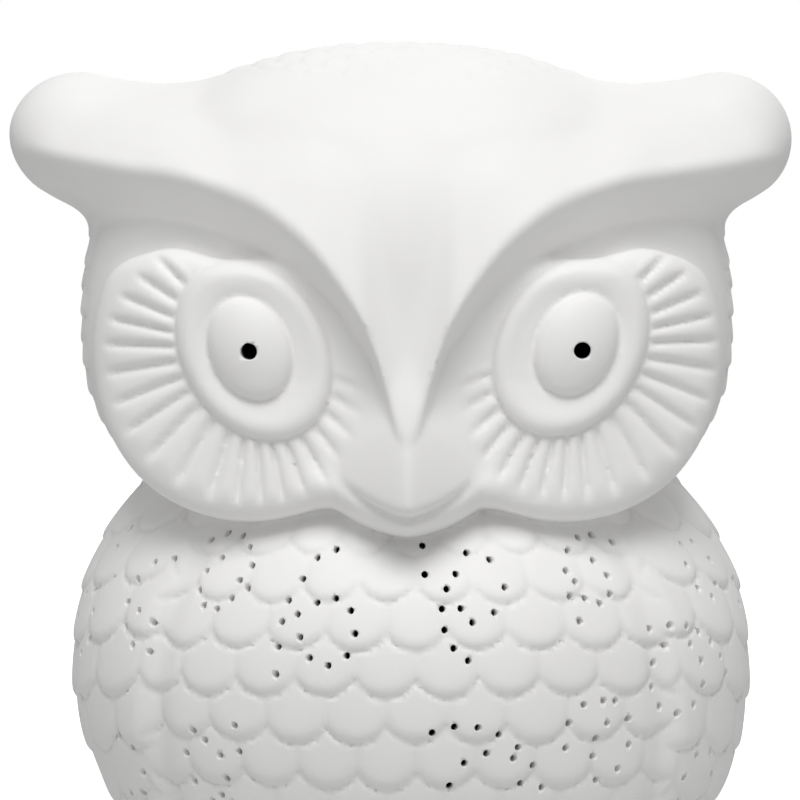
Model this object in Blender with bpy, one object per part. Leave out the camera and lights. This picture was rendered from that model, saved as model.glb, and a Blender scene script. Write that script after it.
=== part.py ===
"""Pierced porcelain owl lamp: a lift-off hollow owl standing over a low base
that carries an E14 lampholder and a screw-in filament lamp.
Metres, +Z up, the owl looks along -Y, the rubber feet stand on z = 0."""
import math

import bmesh
import bpy
import numpy as np
from mathutils import Matrix, Vector

GAP = 0.0003                      # clearance between neighbouring pieces

# owl shell
CROWN_Z = 0.235                   # overall height
BODY_W = 0.092                    # half width of the body at its widest
BODY_D = 0.081                    # half depth of the body
HEAD_W = 0.0893                   # half width of the head
HEAD_D = 0.072                    # half depth of the head
HEAD_Z = 0.160                    # height of the head's centre
HORN_X = 0.0905                   # horn tip centre from the middle plane
HORN_Z = 0.2095                   # horn tip centre height
HORN_R = 0.017                    # horn tip radius
WALL = 0.0045                     # porcelain wall
CORE_Z = 0.128                    # point the shell's rays leave from
DISC_X, DISC_Y, DISC_Z = 0.0425, 0.040, 0.151   # centre of each facial disc
DISC_RX, DISC_RY, DISC_RZ = 0.0420, 0.0370, 0.0475
EYE_X, EYE_Z = 0.0435, 0.151      # eye centre
EYE_RX, EYE_RZ = 0.0215, 0.0245   # raised ring round the eye
BALL_RX, BALL_RZ = 0.0125, 0.0145 # eyeball
EYE_HOLE_R = 0.0025               # light hole in each eyeball
PIN_R = 0.0010                    # light pinholes
RECESS = 0.0085                   # how far the face lies behind the brow
COLS, ROWS, ROWS_IN = 54, 44, 11  # shell net

# base
FOOT_H = 0.0030                   # rubber feet
FOOT_R = 0.0060
COVER_T = 0.0015                  # bottom cover
PAN_R = 0.0515                    # outside of the base pan
PAN_H = 0.0124
PAN_T = 0.002                     # wall of the base pan
BOSS_R = 0.0036
SCREW_SHANK = 0.0011              # cover screws
SCREW_HEAD = 0.0028
SCREW_HEAD_H = 0.0016
VENT_CIRCLE, VENT_R = 0.030, 0.0032
COVER_VENT_CIRCLE, COVER_VENT_R = 0.022, 0.0030
NIPPLE_R = 0.005                  # M10 nipple
NIPPLE_BORE = 0.0036
NUT_H, WASHER_T = 0.0030, 0.0009
CORD_R = 0.0024                   # way for the cord through the grommet
PAD_T, PAD_R = 0.0009, 0.0024     # silicone seat pads under the ledge
LIFT_CLEAR = 0.0010               # shell's foot rim to the base pan
LEDGE_LAP = 0.0085                # how far the ledge reaches over the pan
LEDGE_T = 0.004                   # ledge thickness
RIM_LIFT = 0.0005                 # how much lower the foot rim hangs than the bottom cover

# lampholder and lamp
PITCH = 0.002822                  # E14 thread pitch
THREAD_R = 0.0066                 # mean radius of the lamp's thread
THREAD_A = 0.00035                # half depth of the thread
THREAD_CLEAR = 0.00055            # lamp thread to socket thread
SHEET = 0.0012                    # socket sheet and the room for its thread
HOLDER_T = 0.0014                 # lampholder wall
CAP_H = 0.0142                    # lower half of the lampholder
SLEEVE_H = 0.0230                 # upper half of the lampholder
CARRIER_H = 0.0045                # contact carrier
SOCKET_H = 0.0141
LAMP_R = 0.0225                   # glass ball
GLASS_T = 0.0008
FILAMENT_L, FILAMENT_R = 0.0259, 0.0009

# places that follow from the sizes above
COVER_Z0 = FOOT_H + GAP
COVER_Z1 = COVER_Z0 + COVER_T
PAN_BOTTOM = COVER_Z1 + GAP
PAN_TOP = PAN_BOTTOM + PAN_H
SCREW_R = PAN_R - PAN_T - BOSS_R - 0.0039
GROMMET_Z = (PAN_BOTTOM + PAN_TOP - PAN_T) / 2
FOOT_Z = FOOT_H - RIM_LIFT        # underside of the porcelain foot rim
FOOT_R_IN = PAN_R + LIFT_CLEAR    # inside of the foot rim
LEDGE_Z = PAN_TOP + PAD_T + 2 * GAP
LEDGE_R = PAN_R - LEDGE_LAP       # opening through the ledge
HOLDER_Z = PAN_TOP + GAP
SLEEVE_Z = HOLDER_Z + CAP_H + GAP
SOCK_IN = THREAD_R + THREAD_CLEAR
SLEEVE_IN = SOCK_IN + SHEET + 0.0021
SLEEVE_OUT = SLEEVE_IN + HOLDER_T + 0.0012
HOLDER_R = SLEEVE_OUT + 0.0004
CARRIER_Z = SLEEVE_Z + 0.0012
CARRIER_TOP = CARRIER_Z + CARRIER_H
SOCKET_Z = CARRIER_TOP + GAP
TIP_Z = SOCKET_Z + 0.0022         # underside of the lamp's contact tip
CAP_Z = TIP_Z + 0.0038            # foot of the lamp's thread
CAP_TOP = CAP_Z + 0.0102
NECK_Z = CAP_TOP + 0.0155         # where the glass ball starts to open out
BALL_RISE = math.radians(-68)
LAMP_Z = NECK_Z + 0.0056 - LAMP_R * math.sin(BALL_RISE)   # centre of the glass ball
FILAMENT_Z = LAMP_Z - 0.0193

for ob in list(bpy.data.objects):
    bpy.data.objects.remove(ob, do_unlink=True)


# ---------------------------------------------------------------- helpers
MATERIALS = {}


def material(name, colour, rough, metal=0.0, transmission=0.0):
    if name not in MATERIALS:
        mat = bpy.data.materials.new(name)
        mat.use_nodes = True
        bsdf = mat.node_tree.nodes["Principled BSDF"]
        bsdf.inputs["Base Color"].default_value = (*colour, 1.0)
        bsdf.inputs["Roughness"].default_value = rough
        bsdf.inputs["Metallic"].default_value = metal
        bsdf.inputs["Transmission Weight"].default_value = transmission
        MATERIALS[name] = mat
    return MATERIALS[name]


def add_object(name, bm, mat, location=(0, 0, 0)):
    bmesh.ops.recalc_face_normals(bm, faces=bm.faces)
    mesh = bpy.data.meshes.new(name)
    bm.to_mesh(mesh)
    bm.free()
    ob = bpy.data.objects.new(name, mesh)
    bpy.context.scene.collection.objects.link(ob)
    ob.location = location
    if mat:
        mesh.materials.append(mat)
    return ob


def revolve(name, profile, mat, segments=32, location=(0, 0, 0), closed=False):
    """Turn a (radius, height) outline round Z. Radius 0 ends become poles."""
    bm = bmesh.new()
    rings = []
    for r, z in profile:
        if r <= 1e-9:
            rings.append([bm.verts.new((0, 0, z))])
        else:
            rings.append([bm.verts.new((r * math.cos(2 * math.pi * k / segments),
                                        r * math.sin(2 * math.pi * k / segments), z))
                          for k in range(segments)])
    pairs = list(zip(rings, rings[1:]))
    if closed:
        pairs.append((rings[-1], rings[0]))
    for a, b in pairs:
        join_rings(bm, a, b)
    return add_object(name, bm, mat, location)


def join_rings(bm, a, b):
    n = max(len(a), len(b))
    if n == 1:
        return
    for k in range(n):
        j = (k + 1) % n
        if len(a) == 1:
            bm.faces.new((a[0], b[j], b[k]))
        elif len(b) == 1:
            bm.faces.new((a[k], a[j], b[0]))
        else:
            bm.faces.new((a[k], a[j], b[j], b[k]))


def boolean(target, cutter, operation="DIFFERENCE"):
    cutter.hide_render = True
    cutter.display_type = "WIRE"
    mod = target.modifiers.new("cut_" + cutter.name, "BOOLEAN")
    mod.operation = operation
    mod.solver = "EXACT"
    mod.object = cutter


def apply_modifiers(ob):
    graph = bpy.context.evaluated_depsgraph_get()
    mesh = bpy.data.meshes.new_from_object(ob.evaluated_get(graph))
    mats = [m for m in ob.data.materials]
    ob.modifiers.clear()
    ob.data = mesh
    if not mesh.materials:
        for m in mats:
            mesh.materials.append(m)


def remove(*obs):
    for ob in obs:
        bpy.data.objects.remove(ob, do_unlink=True)


def rods(name, items, segments):
    """Closed rods joined in one mesh: each item is (start, end, radius)."""
    bm = bmesh.new()
    for start, end, radius in items:
        start, end = Vector(start), Vector(end)
        turn = (end - start).to_track_quat("Z", "Y").to_matrix().to_4x4()
        place = Matrix.Translation((start + end) / 2) @ turn
        bmesh.ops.create_cone(bm, cap_ends=True, segments=segments, radius1=radius,
                              radius2=radius, depth=(end - start).length, matrix=place)
    return add_object(name, bm, None)


# ---------------------------------------------------------------- owl form
def smooth_min(a, b, k):
    h = np.clip(0.5 + 0.5 * (b - a) / k, 0.0, 1.0)
    return b + (a - b) * h - k * h * (1.0 - h)


def smooth_step(x, lo, hi):
    t = np.clip((x - lo) / (hi - lo), 0.0, 1.0)
    return t * t * (3.0 - 2.0 * t)


def capsule(p, a, b, r, flat):
    """Round-ended rod between a and b, stretched in depth by flat."""
    q = p * np.array([1.0, 1.0 / flat, 1.0])
    a, b = np.array(a), np.array(b)
    ab = b - a
    t = np.clip(((q - a) @ ab) / (ab @ ab), 0.0, 1.0)
    return np.linalg.norm(q - a - t[..., None] * ab, axis=-1) - r


def body_half_width(z):
    """Barrel of the body: fullest a quarter of the way up, drawn in at the neck."""
    full = 0.066
    low = BODY_W - 0.0275 * (np.clip(full - z, 0, 1) / full) ** 2.1
    high = BODY_W - 0.0205 * (np.clip(z - full, 0, 1) / 0.050) ** 2.3
    return np.where(z < full, low, np.maximum(high, 0.004))


def owl_field(p):
    """Signed measure of the plain form: negative inside, about true distance."""
    x, y, z = np.abs(p[..., 0]), p[..., 1], p[..., 2]
    wide = body_half_width(z)
    deep = wide * (BODY_D / BODY_W)
    least = np.where(z < LEDGE_Z + LEDGE_T + 0.004, FOOT_R_IN + WALL, 0.0)
    wide, deep = np.maximum(wide, least), np.maximum(deep, least)
    rho = ((x / wide) ** 2.15 + (np.abs(y) / deep) ** 2.15) ** (1 / 2.15)
    body = (rho - 1.0) * wide
    up = z > HEAD_Z
    power = np.where(up, 2.3, 2.6)
    high = np.where(up, CROWN_Z - HEAD_Z, 0.060)
    dz = np.abs(z - HEAD_Z) / high
    rho = ((x / HEAD_W) ** power + (np.abs(y) / HEAD_D) ** power + dz ** power) ** (1 / power)
    head = (rho - 1.0) * 0.080
    q = np.stack([x, y + 0.012, z], axis=-1)
    horn = capsule(q, (0.060, 0, 0.183), (HORN_X, 0, HORN_Z), HORN_R, 1.25)
    ridge = capsule(q, (0.050, 0, 0.204), (HORN_X - 0.002, 0, HORN_Z - 0.0005), HORN_R, 1.25)
    horns = smooth_min(horn, ridge, 0.004)
    head = smooth_min(head, horns, 0.012)
    disc = ((x - DISC_X) / DISC_RX) ** 2 + ((z - DISC_Z) / DISC_RZ) ** 2
    disc = np.sqrt(disc + ((y + DISC_Y) / DISC_RY) ** 2)
    head = smooth_min(head, (disc - 1.0) * DISC_RY, 0.012)
    return smooth_min(head, np.where(z < 0.150, body, 1.0), 0.009)


def brow_height(x):
    return 0.133 + 0.067 * (1.0 - np.exp(-np.abs(x) / 0.0245))


def face_mask(x, z):
    """1 on the sunk face below the V-shaped brow, 0 outside it."""
    below = smooth_step(brow_height(x) - z, -0.002, 0.007)
    rim = ((np.abs(x) - DISC_X) / DISC_RX) ** 2 + ((z - DISC_Z) / DISC_RZ) ** 2
    rim = np.where(np.abs(x) < DISC_X, ((z - DISC_Z) / DISC_RZ) ** 2, rim)
    return below * (1.0 - smooth_step(rim, 0.60, 0.95))


def relief(p, fine):
    """Depth taken off (+) or put on (-) the plain form at p."""
    x, z = p[..., 0], p[..., 2]
    front = smooth_step(-p[..., 1], 0.015, 0.035)
    depth = RECESS * face_mask(x, z) * (1.0 - smooth_step(np.abs(x), 0.060, 0.085) * 0.6)
    if fine:
        dx, dz = (np.abs(x) - EYE_X), z - EYE_Z
        ring = np.sqrt((dx / EYE_RX) ** 2 + (dz / EYE_RZ) ** 2)
        ball = np.sqrt((dx / BALL_RX) ** 2 + (dz / BALL_RZ) ** 2)
        depth = depth - 0.0032 * np.exp(-((ring - 0.86) / 0.17) ** 2)
        depth = depth - 0.0055 * np.clip(1.0 - ball ** 2, 0.0, 1.0)
        nose = np.exp(-(x / (0.007 + 0.30 * np.clip(0.150 - z, 0, 0.03))) ** 2)
        nose = nose * smooth_step(z, 0.101, 0.111) * (1.0 - smooth_step(z, 0.130, 0.150))
        depth = depth - 0.007 * nose
    return depth * front


def cast_rays(dirs, inside):
    """Radius at which each ray from the core leaves the outer or inner wall."""
    steps = np.linspace(0.03, 0.165, 110)
    core = np.array([0.0, 0.0, CORE_Z])

    def value(t):
        p = core + dirs * t[..., None]
        v = owl_field(p) + relief(p, not inside)
        return v + (WALL if inside else 0.0)

    grid = np.stack([value(np.full(len(dirs), s)) for s in steps], axis=1)
    hit = grid < 0
    last = hit.shape[1] - 1 - np.argmax(hit[:, ::-1], axis=1)
    last = np.minimum(last, len(steps) - 2)
    lo, hi = steps[last], steps[last + 1]
    for _ in range(24):
        mid = (lo + hi) / 2
        neg = value(mid) < 0
        lo, hi = np.where(neg, mid, lo), np.where(neg, hi, mid)
    return (lo + hi) / 2


def column_angles():
    t = np.arange(COLS) / COLS
    return -math.pi / 2 + 2 * math.pi * t - 0.55 * np.sin(2 * math.pi * t)


def shell_net(bm, rises, angles, inside):
    """Rings of vertices on the outer or inner wall; steep steps are eased."""
    up, turn = np.meshgrid(np.array(rises), angles, indexing="ij")
    dirs = np.stack([np.cos(up) * np.cos(turn), np.cos(up) * np.sin(turn), np.sin(up)], axis=-1)
    reach = cast_rays(dirs.reshape(-1, 3), inside).reshape(up.shape)
    plain = reach.copy()
    front = smooth_step(-dirs[..., 1] * reach, 0.010, 0.030)
    low = 1.0 - smooth_step(CORE_Z + dirs[..., 2] * reach, HORN_Z - 0.020, HORN_Z - 0.008)
    for _ in range(2):
        eased = (np.roll(reach, 1, 1) + np.roll(reach, -1, 1) + 2 * reach) / 4
        eased[1:-1] = (eased[:-2] + eased[2:] + 2 * eased[1:-1]) / 4
        step = smooth_step(np.abs(eased - reach), 0.0002, 0.0010)
        reach = reach + (eased - reach) * step * front * low
    reach = np.clip(reach, plain - WALL / 3, plain + WALL / 3)
    pts = np.array([0, 0, CORE_Z]) + dirs * reach[..., None]
    return [[bm.verts.new(tuple(p)) for p in ring] for ring in pts]


def flat_ring(bm, radii, z, angles):
    return [bm.verts.new((r * math.cos(a), r * math.sin(a), z)) for r, a in zip(radii, angles)]


def foot_outline(z, angles, shrink):
    wide = float(body_half_width(np.array(z)))
    least = FOOT_R_IN + WALL
    deep = max(wide * BODY_D / BODY_W, least) - shrink
    wide = max(wide, least) - shrink
    c, s = np.abs(np.cos(angles)), np.abs(np.sin(angles))
    return ((c / wide) ** 2.15 + (s / deep) ** 2.15) ** (-1 / 2.15)


def build_shell():
    bm = bmesh.new()
    angles = column_angles()
    rings = [[bm.verts.new((0, 0, CROWN_Z))]]
    spread = [k / ROWS for k in range(1, ROWS + 1)]
    lowest = math.degrees(math.atan2(CORE_Z - 0.013, BODY_W - 0.0145))
    rises = [math.radians(90 - (90 + lowest) * (t + 0.035 * math.sin(2 * math.pi * t)))
             for t in spread]
    rings += shell_net(bm, rises, angles, False)
    rings.append(flat_ring(bm, foot_outline(0.004, angles, 0.0006), FOOT_Z + 0.001, angles))
    rings.append(flat_ring(bm, foot_outline(0.004, angles, 0.0020), FOOT_Z, angles))
    for r, z in ((FOOT_R_IN, FOOT_Z), (FOOT_R_IN, LEDGE_Z), (LEDGE_R, LEDGE_Z),
                 (LEDGE_R, LEDGE_Z + LEDGE_T)):
        rings.append(flat_ring(bm, [r] * COLS, z, angles))
    rings.append(flat_ring(bm, foot_outline(LEDGE_Z + LEDGE_T, angles, WALL + 0.003),
                           LEDGE_Z + LEDGE_T, angles))
    rises = [math.radians(-44 + 128 * k / (ROWS_IN - 1)) for k in range(ROWS_IN)]
    rings += shell_net(bm, rises, angles, True)
    rings.append([bm.verts.new((0, 0, CROWN_Z - WALL))])
    for a, b in zip(rings, rings[1:]):
        join_rings(bm, a, b)
    return add_object("porcelain_owl_shell", bm,
                      material("bisque_porcelain", (0.86, 0.85, 0.82), 0.45))


def motif_points():
    """Light holes: hooks and rings of pinholes laid on the body (azimuth, height)."""
    out = []
    centres = [(-26, 0.082, 0), (22, 0.084, 50), (-54, 0.090, 20), (52, 0.088, 70),
               (-50, 0.045, 40), (24, 0.043, 10), (-88, 0.070, 0), (90, 0.072, 60),
               (126, 0.080, 20), (-126, 0.078, 30), (180, 0.084, 0), (150, 0.046, 40),
               (-152, 0.046, 10)]
    for az, z, spin in centres:
        for k in range(6):
            a = math.radians(spin + k * 52)
            out.append((math.radians(az) + 0.0105 * math.cos(a) / 0.085,
                        z + 0.0105 * math.sin(a)))
    return out


shell = build_shell()
pins = []
for az, z in motif_points():
    out = Vector((math.sin(az), -math.cos(az), 0))
    foot = Vector((0, 0, z))
    pins.append((foot + out * (BODY_D - 0.021), foot + out * (BODY_W + 0.013), PIN_R))
EYE_FRONT = DISC_Y + DISC_RY
pins += [(Vector((s * EYE_X, -EYE_FRONT - 0.023, EYE_Z)),
          Vector((s * EYE_X, -EYE_FRONT + 0.047, EYE_Z)), EYE_HOLE_R) for s in (-1, 1)]
pin_cutter = rods("light_hole_cutter", pins, 6)
NOTCH_R = CORD_R + 0.0022 + 0.0016
notch = rods("cord_notch_cutter", [((0, FOOT_R_IN - 0.0065, GROMMET_Z),
                                    (0, FOOT_R_IN + 0.035, GROMMET_Z), NOTCH_R)], 16)
leg = bmesh.new()
bmesh.ops.create_cube(leg, size=1.0)
for v in leg.verts:
    v.co = Vector((v.co.x * 1.97 * NOTCH_R, FOOT_R_IN + 0.0135 + v.co.y * 0.040,
                   (GROMMET_Z - 0.002) / 2 + v.co.z * (GROMMET_Z + 0.002)))
leg = add_object("cord_notch_leg_cutter", leg, None)
for cutter in (pin_cutter, notch, leg):
    boolean(shell, cutter)
apply_modifiers(shell)
remove(pin_cutter, notch, leg)

# ---------------------------------------------------------------- base
white_plastic = material("white_plastic", (0.80, 0.80, 0.78), 0.4)
rubber = material("grey_rubber", (0.12, 0.12, 0.12), 0.8)
steel = material("zinc_steel", (0.62, 0.62, 0.60), 0.35, 1.0)
brass = material("brass", (0.72, 0.55, 0.28), 0.3, 1.0)
phenolic = material("black_phenolic", (0.03, 0.03, 0.03), 0.45)
silicone = material("clear_silicone", (0.75, 0.75, 0.75), 0.5)


def around(radius, degrees):
    a = math.radians(degrees)
    return radius * math.cos(a), radius * math.sin(a)


def upright(places, z0, z1, radius):
    return [((x, y, z0), (x, y, z1), radius) for x, y in places]


def cut(target, name, items, segments, operation="DIFFERENCE"):
    cutter = rods(name, items, segments)
    boolean(target, cutter, operation)
    return cutter


screw_places = {"right": around(SCREW_R, 31), "left": around(SCREW_R, 151),
                "front": around(SCREW_R, 271)}
screws = list(screw_places.values())
pan = revolve("base_pan", [
    (NIPPLE_R + GAP, PAN_TOP), (PAN_R - 0.0012, PAN_TOP), (PAN_R, PAN_TOP - 0.0012),
    (PAN_R, PAN_BOTTOM), (PAN_R - PAN_T, PAN_BOTTOM), (PAN_R - PAN_T, PAN_TOP - PAN_T),
    (NIPPLE_R + GAP, PAN_TOP - PAN_T)], white_plastic, 48, closed=True)
cutters = [
    cut(pan, "boss_bodies", upright(screws, PAN_BOTTOM, PAN_TOP - 0.001, BOSS_R), 16, "UNION"),
    cut(pan, "boss_bores", upright(screws, PAN_BOTTOM - 0.002, PAN_TOP - PAN_T - 0.002,
                                   SCREW_SHANK + GAP), 12),
    cut(pan, "pan_vents", upright([around(VENT_CIRCLE, 16 + 45 * k) for k in range(8)],
                                  PAN_TOP - PAN_T - 0.004, PAN_TOP + 0.004, VENT_R), 12),
    cut(pan, "gland_bore", [((0, PAN_R - PAN_T - 0.005, GROMMET_Z), (0, PAN_R + 0.006, GROMMET_Z),
                             CORD_R + 0.0015)], 16)]
apply_modifiers(pan)
remove(*cutters)

cover = revolve("base_cover", [
    (0, COVER_Z0), (PAN_R - 0.0008, COVER_Z0), (PAN_R - GAP, COVER_Z0 + 0.0005),
    (PAN_R - GAP, COVER_Z1), (0, COVER_Z1)], white_plastic, 48)
cutters = [
    cut(cover, "cover_screw_holes", upright(screws, COVER_Z0 - 0.003, COVER_Z1 + 0.003,
                                            SCREW_SHANK + 0.0005), 12),
    cut(cover, "cover_vents", upright([around(COVER_VENT_CIRCLE, 32 + 60 * k) for k in range(6)],
                                      COVER_Z0 - 0.003, COVER_Z1 + 0.003, COVER_VENT_R), 12)]
apply_modifiers(cover)
remove(*cutters)

head_z = COVER_Z0 - GAP
for name, (x, y) in screw_places.items():
    revolve("cover_screw_" + name, [
        (0, head_z - SCREW_HEAD_H), (SCREW_HEAD - 0.0006, head_z - SCREW_HEAD_H),
        (SCREW_HEAD, head_z - SCREW_HEAD_H + 0.0006), (SCREW_HEAD, head_z),
        (SCREW_SHANK, head_z), (SCREW_SHANK, head_z + 0.0070),
        (SCREW_SHANK / 2, head_z + 0.0082), (0, head_z + 0.0082)], steel, 14, (x, y, 0))

for name, turn in (("front_right", -45), ("rear_right", 45), ("rear_left", 135),
                   ("front_left", -135)):
    x, y = around(PAN_R - 0.0015 - FOOT_R - 0.0015, turn)
    revolve("rubber_foot_" + name, [
        (0, 0), (FOOT_R - 0.0008, 0), (FOOT_R, 0.0008), (FOOT_R, FOOT_H), (0, FOOT_H)],
        rubber, 24, (x, y, 0))

for name, turn in (("right", 0), ("rear", 120), ("front", 240)):
    x, y = around((LEDGE_R + PAN_R) / 2, turn)
    revolve("seat_pad_" + name, [
        (0, PAN_TOP + GAP), (PAD_R - 0.0004, PAN_TOP + GAP), (PAD_R, PAN_TOP + GAP + PAD_T / 2),
        (PAD_R - 0.0004, PAN_TOP + GAP + PAD_T), (0, PAN_TOP + GAP + PAD_T)],
        silicone, 16, (x, y, 0))

flange = CORD_R + 0.0022
grommet = revolve("cord_grommet", [
    (CORD_R, -0.0020), (flange, -0.0020), (flange, -0.0005), (CORD_R + 0.0012, -0.0005),
    (CORD_R + 0.0012, PAN_T + GAP), (flange, PAN_T + GAP), (flange, PAN_T + 0.0016),
    (flange - 0.0005, PAN_T + 0.0021), (CORD_R, PAN_T + 0.0021)], rubber, 24, closed=True)
grommet.rotation_euler = (math.radians(-90), 0, 0)
grommet.location = (0, PAN_R - PAN_T, GROMMET_Z)

washer_top = PAN_TOP - PAN_T - GAP
nut_z = washer_top - WASHER_T - GAP - NUT_H / 2
nipple_z0, nipple_z1 = nut_z - NUT_H / 2 - 0.0020, HOLDER_Z + 0.0072
revolve("threaded_nipple", [
    (NIPPLE_BORE, nipple_z0), (NIPPLE_R - 0.0002, nipple_z0), (NIPPLE_R, nipple_z0 + 0.0003),
    (NIPPLE_R, nipple_z1 - 0.0003), (NIPPLE_R - 0.0002, nipple_z1), (NIPPLE_BORE, nipple_z1)],
    steel, 28, closed=True)
revolve("nipple_washer", [
    (NIPPLE_R + GAP, washer_top - WASHER_T), (NIPPLE_R + 0.0045, washer_top - WASHER_T),
    (NIPPLE_R + 0.0045, washer_top), (NIPPLE_R + GAP, washer_top)], steel, 28, closed=True)
nut = bmesh.new()
bmesh.ops.create_cone(nut, cap_ends=True, segments=6, radius1=NIPPLE_R + 0.0031,
                      radius2=NIPPLE_R + 0.0031, depth=NUT_H)
nut = add_object("nipple_lock_nut", nut, brass, (0, 0, nut_z))
nut_bore = cut(nut, "nut_bore", [((0, 0, nut_z - NUT_H), (0, 0, nut_z + NUT_H),
                                  NIPPLE_R + GAP)], 28)
apply_modifiers(nut)
remove(nut_bore)

# ---------------------------------------------------------------- lampholder
cap_top = HOLDER_Z + CAP_H
revolve("holder_cap", [
    (NIPPLE_R + GAP, HOLDER_Z), (HOLDER_R - 0.002, HOLDER_Z), (HOLDER_R, HOLDER_Z + 0.002),
    (HOLDER_R, cap_top), (HOLDER_R - HOLDER_T, cap_top),
    (HOLDER_R - HOLDER_T, HOLDER_Z + 0.0032), (HOLDER_R - HOLDER_T - 0.0014, HOLDER_Z + 0.002),
    (NIPPLE_R + GAP, HOLDER_Z + 0.002)], phenolic, 32, closed=True)
sleeve_top = SLEEVE_Z + SLEEVE_H
revolve("holder_sleeve", [
    (SLEEVE_IN, SLEEVE_Z), (SLEEVE_OUT, SLEEVE_Z), (SLEEVE_OUT, SLEEVE_Z + 0.0022),
    (SLEEVE_OUT - 0.0006, SLEEVE_Z + 0.0027), (SLEEVE_OUT - 0.0006, sleeve_top - 0.0008),
    (SLEEVE_OUT - 0.0014, sleeve_top), (SOCK_IN + 0.0019, sleeve_top),
    (SOCK_IN + 0.0019, sleeve_top - 0.0012), (SLEEVE_IN, sleeve_top - 0.0012)],
    phenolic, 32, closed=True)
carrier = revolve("contact_carrier", [
    (0, CARRIER_Z), (SLEEVE_IN - GAP, CARRIER_Z), (SLEEVE_IN - GAP, CARRIER_TOP),
    (0, CARRIER_TOP)], material("steatite", (0.82, 0.78, 0.68), 0.5), 32)
terminals = {"live": (THREAD_R - 0.0011, 0), "neutral": (0.0011 - THREAD_R, 0)}
bores = cut(carrier, "carrier_bores", upright(list(terminals.values()), CARRIER_Z - 0.003,
                                              CARRIER_Z + 0.0031, 0.0018), 12)
apply_modifiers(carrier)
remove(bores)
for name, (x, y) in terminals.items():
    z = CARRIER_Z
    revolve("terminal_screw_" + name, [
        (0, z - 0.0035), (0.0024, z - 0.0035), (0.0028, z - 0.0031), (0.0028, z - 0.0005),
        (0.0015, z - 0.0005), (0.0015, z + 0.0025), (0, z + 0.0028)], brass, 16, (x, y, 0))


def threaded_tube(name, rows, cols, mat):
    """Tube of (radius, height, share of the thread's depth) rows."""
    bm = bmesh.new()
    rings = []
    for r, z, share in rows:
        ring = []
        for k in range(cols):
            a = 2 * math.pi * k / cols
            wave = THREAD_A * math.cos(2 * math.pi * (z - SOCKET_Z) / PITCH - a)
            q = r + share * wave
            ring.append(bm.verts.new((q * math.cos(a), q * math.sin(a), z)))
        rings.append(ring)
    for a, b in zip(rings, rings[1:] + rings[:1]):
        join_rings(bm, a, b)
    return add_object(name, bm, mat)


def thread_rows(r, z0, z1, per_turn=5):
    n = max(2, round((z1 - z0) / PITCH * per_turn))
    return [(r, z0 + (z1 - z0) * k / n, min(1.0, 0.5 * k, 0.5 * (n - k))) for k in range(n + 1)]


socket_top = SOCKET_Z + SOCKET_H
threaded_tube("screw_shell_contact", thread_rows(SOCK_IN, SOCKET_Z, socket_top)
              + [(SOCK_IN + SHEET, socket_top, 0), (SOCK_IN + SHEET, SOCKET_Z, 0)], 20, brass)
contact = bmesh.new()
z = SOCKET_Z
tongue = [(-THREAD_R + 0.0014, z), (-0.0015, z), (0.0002, z + 0.0013), (0.0030, z + 0.0013)]
for half in (-0.0017, 0.0017):
    low = [contact.verts.new((x, half, h)) for x, h in tongue]
    top = [contact.verts.new((x, half, h + 0.0005)) for x, h in reversed(tongue)]
    contact.faces.new(low + top)
contact.verts.ensure_lookup_table()
n = 2 * len(tongue)
for k in range(n):
    j = (k + 1) % n
    contact.faces.new((contact.verts[k], contact.verts[j], contact.verts[n + j],
                       contact.verts[n + k]))
add_object("centre_contact_spring", contact, brass)

# ---------------------------------------------------------------- lamp
nickel = material("nickel_plate", (0.70, 0.69, 0.66), 0.25, 1.0)
revolve("lamp_contact_tip", [
    (0, TIP_Z), (0.0016, TIP_Z), (0.0024, TIP_Z + 0.0005), (0.0024, TIP_Z + 0.0010),
    (0, TIP_Z + 0.0010)], steel, 20)
neck_in = THREAD_R - 0.0016
revolve("lamp_insulator", [
    (0, TIP_Z + 0.0013), (0.0026, TIP_Z + 0.0013), (neck_in, TIP_Z + 0.0029),
    (neck_in, CAP_Z - GAP), (0, CAP_Z - GAP)], phenolic, 20)
collar = THREAD_R + 0.0012
glass_r = THREAD_R + 0.0005
threaded_tube("lamp_screw_cap", thread_rows(THREAD_R, CAP_Z, CAP_TOP)
              + [(THREAD_R + 0.0004, CAP_TOP + 0.0011, 0), (collar, CAP_TOP + 0.0017, 0),
                 (collar, CAP_TOP + 0.0060, 0), (collar - 0.0004, CAP_TOP + 0.0060, 0),
                 (collar - 0.0004, CAP_TOP + 0.0021, 0), (THREAD_R, CAP_TOP + 0.0015, 0),
                 (THREAD_R - 0.0009, CAP_TOP, 0), (THREAD_R - 0.0009, CAP_Z, 0)], 20, nickel)

ball = []
for k in range(9):
    a = BALL_RISE + (math.pi / 2 - BALL_RISE) * k / 8
    ball.append((LAMP_R * math.cos(a), LAMP_R * math.sin(a)))
ball[-1] = (0, LAMP_R)
inside = LAMP_R - GLASS_T
outer = [(r, LAMP_Z + h) for r, h in ball]
inner = [(r * inside / LAMP_R, LAMP_Z + h * inside / LAMP_R) for r, h in reversed(ball)]
glass_z = CAP_TOP + 0.0025
revolve("lamp_glass", [
    (glass_r - GLASS_T, glass_z), (glass_r, glass_z), (glass_r, NECK_Z - 0.0060),
    (glass_r + 0.0005, NECK_Z)] + outer + inner
    + [(glass_r - 0.0003, NECK_Z), (glass_r - GLASS_T, NECK_Z - 0.0060)],
    material("clear_glass", (0.95, 0.95, 0.93), 0.05, 0.0, 1.0), 26, closed=True)
f0, f1 = FILAMENT_Z - GAP, FILAMENT_Z + FILAMENT_L + GAP
flare = glass_r - GLASS_T - 0.0005
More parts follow.
